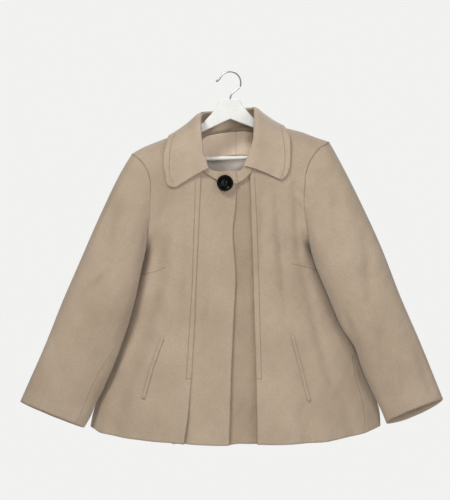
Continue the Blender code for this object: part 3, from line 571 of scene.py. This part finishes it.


# collar's topstitching, in mm across and up: drawn into the collar's wool as grooves with painted shade, and
# laid on as stitches
COLLAR_STITCHING = [
    [(-117, -133), (-124, -149), (-127.5, -168), (-129, -191), (-129, -212), (-126.5, -228), (-121, -237.5)],
    [(108, -114), (111.5, -136), (115, -164), (116, -185), (114.5, -205), (110, -222), (104, -232)],
]
PLEAT_STITCHING = {
    "right": [(-73, -235), (-76.6, -338), (-80, -450), (-89, -594), (-93, -652)],
    "left": [(51.5, -228), (57, -330), (60.5, -444), (65.3, -651)],
}
# darts, topstitching beside the pleats and the bars that end it, drawn into the wool as grooves with painted
# shade
FRONT_LINES = {
    "front_right_side": [
        [(-187, -433), (-159, -426), (-136, -416)],
        PLEAT_STITCHING["right"],
        [(-94, -651), (-82, -651)],
    ],
    "front_left_side": [
        [(130, -409), (160, -416), (184, -423)],
        PLEAT_STITCHING["left"],
        [(65.5, -651), (55, -651)],
    ],
}


def joined_lines(paths, half_width):
    """The straight lines between the places of each path, with their half width in mm."""
    return [(start, stop, half_width) for path in paths for start, stop in zip(path, path[1:])]


wool = wool_material("coat wool")
# painted shade: the coat wool darkened, for the beads in the shaded gap between body and sleeve head
seam_wool_painted_shade = wool_material("seam wool painted shade", tint=(0.70, 0.67, 0.63))
# painted light: the facing is the coat wool made far lighter, to light up the shaded inside of the neck
facing_wool_painted_light = wool_material("facing wool painted light", [((13, -120), (13, -200), 0.9)], tint=(2.35, 2.4, 2.5))
# painted shade: the underlap is the coat wool darkened, for the shadow under the front edge
underlap_wool_painted_shade = wool_material("underlap wool painted shade", tint=(0.90, 0.88, 0.86))
darted = {
    name: wool_material(name.replace("_", " ") + " wool", joined_lines(paths, 1.2))
    for name, paths in FRONT_LINES.items()
}
# painted light: the collar is the coat wool made a little lighter
collar_wool_painted_light = wool_material(
    "collar wool painted light", joined_lines(COLLAR_STITCHING, 0.9), tint=(1.12, 1.13, 1.15)
)
lining = lining_material()
plastic = plastic_material()
paint = paint_material("hanger paint", (0.70, 0.70, 0.675), (0.77, 0.775, 0.76))
# painted light: the bar gets a whiter copy of the hanger paint, for the shade it sits in
bar_paint_painted_light = paint_material("bar paint painted light", (0.92, 0.90, 0.86), (0.97, 0.96, 0.93))
wire = wire_material()
sewing_thread = thread_material("beige thread", (0.30, 0.235, 0.17))
black_thread = thread_material("black thread", (0.006, 0.006, 0.007))

SMALL_PIECES = ("neck_facing", "back_lining", "welt_right", "welt_left")
SMALL_LEVELS = 2
LARGE_LEVELS = 3
OWN_WOOL = {
    "collar_fall": collar_wool_painted_light, "neck_facing": facing_wool_painted_light, "front_left_centre": underlap_wool_painted_shade,
}
cloth = {}
for name, slot, width, length, share in CLOTH_PIECES:
    thing = cloth_copy(name, SMALL_LEVELS if name in SMALL_PIECES else LARGE_LEVELS)
    fold_cloth(thing, name)
    shade_smooth(thing, CLOTH_SMOOTH_ANGLE)
    material = lining if slot == "lining" else darted.get(name, wool)
    material = OWN_WOOL.get(name, material)
    thing.data.materials.append(material)
    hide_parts(name)
    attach(thing, "root")
    cloth[name] = thing


# Armhole seams: the turned-in edges that show between body and sleeve head, in darkened wool that paints the
# shade of the gap

ARMHOLES = {
    "right": [
        (-178, 4, -380), (-176, -26, -353), (-173, -35, -327), (-171, -40, -302), (-170, -42, -277),
        (-169, -42, -253), (-170, -42, -229), (-178, -42, -208), (-190, -39, -190), (-200, -29, -182),
        (-207, -16, -177), (-209, 0, -176), (-202, 27, -181), (-185, 41, -197), (-172, 42, -221),
        (-169, 42, -251), (-170, 42, -282), (-172, 38, -314), (-176, 29, -346),
    ],
    "left": [
        (170, 4, -380), (166, -28, -349), (162, -37, -320), (158, -41, -291), (157, -43, -263),
        (159, -43, -236), (162, -42, -210), (172, -42, -186), (187, -37, -166), (200, -28, -158),
        (208, -15, -153), (211, 0, -151), (199, 29, -158), (176, 42, -179), (163, 42, -207),
        (158, 42, -239), (157, 42, -272), (160, 39, -307), (166, 31, -343),
    ],
}
SEAM_RADIUS = 1.5 * MM
SEAM_STEPS = 6


def curve_point(p0, p1, p2, p3, part):
    """A place between p1 and p2 on the smooth curve through four places."""
    bend = 2 * p0 - 5 * p1 + 4 * p2 - p3
    cubic = 3 * p1 - p0 - 3 * p2 + p3
    return 0.5 * (2 * p1 + (p2 - p0) * part + bend * part**2 + cubic * part**3)


def smooth_loop(places, steps):
    """Places at even shares along a smooth closed line through the given ones."""
    path = np.array(places, float) * MM
    out = []
    for index in range(len(path)):
        near = [path[(index + shift) % len(path)] for shift in (-1, 0, 1, 2)]
        out.extend(curve_point(*near, part) for part in np.linspace(0, 1, steps, endpoint=False))
    return np.array(out)


def make_seam(name, places):
    """A round closed bead of cloth along an armhole."""
    path = smooth_loop(places, SEAM_STEPS)
    data = bpy.data.curves.new(name, "CURVE")
    data.dimensions = "3D"
    data.bevel_depth = SEAM_RADIUS
    data.bevel_resolution = 3
    line = data.splines.new("POLY")
    line.points.add(len(path) - 1)
    line.points.foreach_set("co", np.c_[path, np.ones(len(path))].ravel())
    line.use_cyclic_u = True
    thing = bpy.data.objects.new(name, data)
    bpy.context.scene.collection.objects.link(thing)
    pick(thing)
    bpy.ops.object.convert(target="MESH")
    thing = bpy.context.object
    thing.name = name
    fold_cloth(thing, name)
    shade_smooth(thing, ROUND_SMOOTH_ANGLE)
    thing.data.materials.clear()
    thing.data.materials.append(seam_wool_painted_shade)
    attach(thing, "root")
    return thing


for word, places in ARMHOLES.items():
    make_seam(f"armhole_seam_{word}", places)


# Stitching

STITCH_LENGTH = 2.6 * MM
STITCH_STEP = 3.6 * MM
STITCH_RADIUS = 0.28 * MM
STITCH_SINK = 0.12 * MM
STITCH_FLATNESS = 1.3
PATH_STEPS = 24
# depth in front of the coat from which its surface is looked for
RAY_START = -300 * MM


def rounded_path(path, step):
    """Places at an even step along a smooth line through the given front-view points."""
    path = np.array(path, float) * MM
    padded = np.vstack([2 * path[0] - path[1], path, 2 * path[-1] - path[-2]])
    fine = []
    for index in range(1, len(padded) - 2):
        near = padded[index - 1:index + 3]
        fine.extend(curve_point(*near, part) for part in np.linspace(0, 1, PATH_STEPS, endpoint=False))
    fine = np.array(fine + [padded[-2]])
    length = np.concatenate([[0], np.cumsum(np.linalg.norm(np.diff(fine, axis=0), axis=1))])
    stations = np.arange(0, length[-1], step)
    return np.stack([np.interp(stations, length, fine[:, axis]) for axis in range(2)], axis=1)


def surface_tree(*names):
    """The surfaces of some cloth pieces, to find places on."""
    model = bmesh.new()
    for name in names:
        model.from_mesh(cloth[name].data)
    tree = BVHTree.FromBMesh(model)
    model.free()
    return tree


def on_front(tree, across, height):
    """Where the cloth's front is at a place of the front view, or nothing."""
    found = tree.ray_cast(Vector((across, RAY_START, height)), Vector((0, 1, 0)))
    return (found[0], found[1]) if found[0] is not None else None


def add_stitches(name, tree, paths):
    """Runs of small rounded stitches laid on the cloth along front-view lines."""
    model = bmesh.new()
    size = Matrix.Diagonal((STITCH_LENGTH / 2, STITCH_RADIUS * STITCH_FLATNESS, STITCH_RADIUS, 1))
    for path in paths:
        places = rounded_path(path, STITCH_STEP)
        for index, place in enumerate(places):
            found = on_front(tree, *place)
            if found is None:
                continue
            spot, normal = found
            first, last = places[max(index - 1, 0)], places[min(index + 1, len(places) - 1)]
            way = Vector((last[0] - first[0], 0, last[1] - first[1]))
            way = (way - normal * way.dot(normal)).normalized()
            side = normal.cross(way)
            turn = Matrix((way, side, normal)).transposed().to_4x4()
            spot = spot - normal * STITCH_SINK
            bmesh.ops.create_icosphere(
                model, subdivisions=1, radius=1.0, matrix=Matrix.Translation(spot) @ turn @ size
            )
    mesh = bpy.data.meshes.new(name)
    model.to_mesh(mesh)
    model.free()
    thing = bpy.data.objects.new(name, mesh)
    bpy.context.scene.collection.objects.link(thing)
    shade_smooth(thing, ROUND_SMOOTH_ANGLE)
    mesh.materials.append(sewing_thread)
    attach(thing, "root")
    return thing


def bar(middle, half):
    """A short level line of stitches that ends a seam."""
    return [(middle[0] - half, middle[1]), (middle[0] + half, middle[1])]


front_tree = surface_tree(
    "front_right_side", "front_right_centre", "front_left_side", "front_left_centre",
    "welt_right", "welt_left",
)
collar_tree = surface_tree("collar_fall")
# lines of stitching: piece that carries them, the lines; all are laid on the surface of the fronts and welts
STITCHING = {
    "front_right_side": [
        PLEAT_STITCHING["right"],
        bar((-88, -651), 6), bar((-142, -561), 5), bar((-184, -695), 5),
    ],
    "front_left_side": [
        PLEAT_STITCHING["left"],
        bar((60, -651), 5), bar((130, -556), 5), bar((166, -701), 5),
    ],
}
for name, paths in STITCHING.items():
    add_stitches(name + "_stitching", front_tree, paths)
add_stitches("collar_stitching", collar_tree, COLLAR_STITCHING)


# Button

# out from the middle and up from the cloth, in mm, from the hollow round the rim to the back
BUTTON_PROFILE = [
    (6.8, 3.1), (8.6, 3.25), (10.4, 3.7), (11.8, 4.5), (13.2, 5.2), (14.6, 5.45),
    (15.9, 5.2), (16.8, 4.5), (17.2, 3.5), (17.1, 2.4), (16.4, 1.2), (15.0, 0.4), (12.0, 0.0),
]
BUTTON_SIDES = 96
BUTTON_HOLE = 1.35
BUTTON_HOLE_AT = 3.0
BUTTON_DRILL = 14.0
BUTTON_EDGE = 0.25
THREAD_RADIUS = 0.3
THREAD_STEP = 0.5
THREAD_STRANDS = 4


def button_place():
    """The middle of the solid button's back, and the way that the button faces."""
    points = np.array([vertex.co[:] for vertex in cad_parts["button"].data.vertices])
    middle = points.mean(axis=0)
    ways = np.linalg.eigh(np.cov((points - middle).T))[1]
    facing = ways[:, 0] * (-1 if ways[1, 0] > 0 else 1)
    back = ((points - middle) @ facing).min()
    return Vector(middle + facing * back), Vector(facing)


def make_button():
    """A turned button: one ring drawn out along its profile, closed at both ends, then drilled."""
    across, high = BUTTON_PROFILE[0]
    clear_selection()
    bpy.ops.mesh.primitive_circle_add(
        vertices=BUTTON_SIDES, radius=across * MM, fill_type="NOTHING", location=(0, 0, high * MM),
    )
    thing = bpy.context.object
    thing.name = "button_gloss"
    settle(thing)
    bpy.ops.object.mode_set(mode="EDIT")
    bpy.ops.mesh.select_all(action="SELECT")
    for wider, higher in BUTTON_PROFILE[1:]:
        share = wider / across
        bpy.ops.mesh.extrude_edges_move()
        bpy.ops.transform.resize(value=(share, share, 1.0), center_override=(0, 0, 0))
        bpy.ops.transform.translate(value=(0, 0, (higher - high) * MM))
        across, high = wider, higher
    bpy.ops.mesh.edge_face_add()
    bpy.ops.mesh.select_all(action="DESELECT")
    bpy.ops.mesh.select_non_manifold()
    bpy.ops.mesh.edge_face_add()
    bpy.ops.mesh.select_all(action="SELECT")
    bpy.ops.mesh.normals_make_consistent(inside=False)
    bpy.ops.object.mode_set(mode="OBJECT")
    for across, up in ((1, 1), (1, -1), (-1, 1), (-1, -1)):
        clear_selection()
        bpy.ops.mesh.primitive_cylinder_add(
            vertices=32, radius=BUTTON_HOLE * MM, depth=BUTTON_DRILL * MM,
            location=(across * BUTTON_HOLE_AT * MM, up * BUTTON_HOLE_AT * MM, 2 * MM),
        )
        drill = bpy.context.object
        cut = thing.modifiers.new("hole", "BOOLEAN")
        cut.operation = "DIFFERENCE"
        cut.solver = "EXACT"
        cut.object = drill
        pick(thing)
        bpy.ops.object.modifier_apply(modifier="hole")
        bpy.data.objects.remove(drill)
    soften = thing.modifiers.new("soften", "BEVEL")
    soften.width = BUTTON_EDGE * MM
    soften.segments = 2
    soften.limit_method = "ANGLE"
    soften.angle_limit = math.radians(50)
    bpy.ops.object.modifier_apply(modifier="soften")
    shade_smooth(thing, 35)
    return thing


def make_button_thread():
    """Two flat bundles of thread between the holes, each of four strands."""
    strands = []
    for side in (-1, 1):
        for strand in range(THREAD_STRANDS):
            clear_selection()
            bpy.ops.mesh.primitive_torus_add(
                major_radius=BUTTON_HOLE_AT * MM, minor_radius=THREAD_RADIUS * MM, major_segments=24,
                minor_segments=8, rotation=(0, math.radians(90), 0),
                location=((side * BUTTON_HOLE_AT + (strand - 1.5) * THREAD_STEP) * MM, 0, 2.0 * MM),
            )
            ring = bpy.context.object
            ring.scale = (0.65, 1.0, 1.0)
            settle(ring)
            strands.append(ring)
    clear_selection()
    for ring in strands:
        ring.select_set(True)
    bpy.context.view_layer.objects.active = strands[0]
    bpy.ops.object.join()
    thread = bpy.context.object
    thread.name = "button_thread"
    shade_smooth(thread, ROUND_SMOOTH_ANGLE)
    return thread


base, facing = button_place()
turn = facing.to_track_quat("Z", "Y").to_matrix().to_4x4()
button = make_button()
thread = make_button_thread()
for thing, material in ((button, plastic), (thread, black_thread)):
    thing.data.transform(Matrix.Translation(base) @ turn)
    thing.data.update()
    thing.data.materials.clear()
    thing.data.materials.append(material)
    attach(thing, "root")
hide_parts("button")


# Hanger

for name, material, slot in (
    ("hanger_wood", paint, "hanger"), ("hanger_bar", bar_paint_painted_light, "hanger"), ("hanger_hook", wire, "hook"),
):
    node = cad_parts[name]
    node.data.materials.clear()
    node.data.materials.append(material)

HOOK_TIP = (-28 * MM, 0.0, -18 * MM)
HOOK_TIP_RADIUS = 2.6 * MM
clear_selection()
bpy.ops.mesh.primitive_uv_sphere_add(
    segments=32, ring_count=16, radius=HOOK_TIP_RADIUS, location=HOOK_TIP
)
tip = bpy.context.object
tip.name = "hook_tip"
settle(tip)
shade_smooth(tip, ROUND_SMOOTH_ANGLE)
tip.data.materials.append(wire)
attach(tip, "root")


# Floor, light and camera

clear_selection()
bpy.ops.mesh.primitive_plane_add(size=FLOOR_SIZE, location=(0, 0, FLOOR_HEIGHT))
floor = bpy.context.object
floor.name = "floor"
settle(floor)
pale = bpy.data.materials.new("pale floor")
pale.use_nodes = True
pale.node_tree.nodes["Principled BSDF"].inputs["Base Color"].default_value = (0.86, 0.86, 0.85, 1)
pale.node_tree.nodes["Principled BSDF"].inputs["Roughness"].default_value = 0.9
floor.data.materials.append(pale)

scene = bpy.context.scene
world = scene.world or bpy.data.worlds.new("studio")
scene.world = world
world.use_nodes = True
sky = world.node_tree
seen = sky.nodes["Background"]
seen.inputs["Color"].default_value = (0.885, 0.885, 0.875, 1)
seen.inputs["Strength"].default_value = 1.0
around = sky.nodes.new("ShaderNodeBackground")
around.inputs["Color"].default_value = (0.93, 0.965, 1.0, 1)
around.inputs["Strength"].default_value = 0.24
rays = sky.nodes.new("ShaderNodeLightPath")
choice = sky.nodes.new("ShaderNodeMixShader")
sky.links.new(rays.outputs["Is Camera Ray"], choice.inputs[0])
sky.links.new(around.outputs[0], choice.inputs[1])
sky.links.new(seen.outputs[0], choice.inputs[2])
sky.links.new(choice.outputs[0], sky.nodes["World Output"].inputs["Surface"])
scene.view_settings.view_transform = "Standard"

# light: name, place, size, power, colour
LIGHTS = [
    ("key", (-1.2, -2.0, 1.8), 0.8, 58.0, (1.0, 0.985, 0.955)),
    ("front", (0.3, -3.4, 0.0), 0.7, 28.0, (1.0, 0.99, 0.97)),
    ("fill", (1.9, -2.2, 0.7), 1.4, 20.0, (1.0, 0.99, 0.97)),
    ("behind", (0.3, 2.2, 1.6), 1.4, 34.0, (1.0, 0.99, 0.97)),
]
for name, place, size, power, colour in LIGHTS:
    data = bpy.data.lights.new(name, "AREA")
    data.shape = "SQUARE"
    data.size = size
    data.energy = power
    data.color = colour
    light = bpy.data.objects.new(name, data)
    light.location = place
    aim = Vector(LIGHTS_AIM) - Vector(place)
    light.rotation_mode = "QUATERNION"
    light.rotation_quaternion = aim.to_track_quat("-Z", "Y")
    scene.collection.objects.link(light)

lens = bpy.data.cameras.new("camera")
lens.sensor_width = SENSOR_WIDTH
lens.lens = SENSOR_WIDTH * CAMERA_DISTANCE / PICTURE_HEIGHT
camera = bpy.data.objects.new("camera", lens)
camera.location = (PICTURE_CENTRE[0], -CAMERA_DISTANCE, PICTURE_CENTRE[1])
camera.rotation_euler = (math.radians(90), 0, 0)
scene.collection.objects.link(camera)
scene.camera = camera
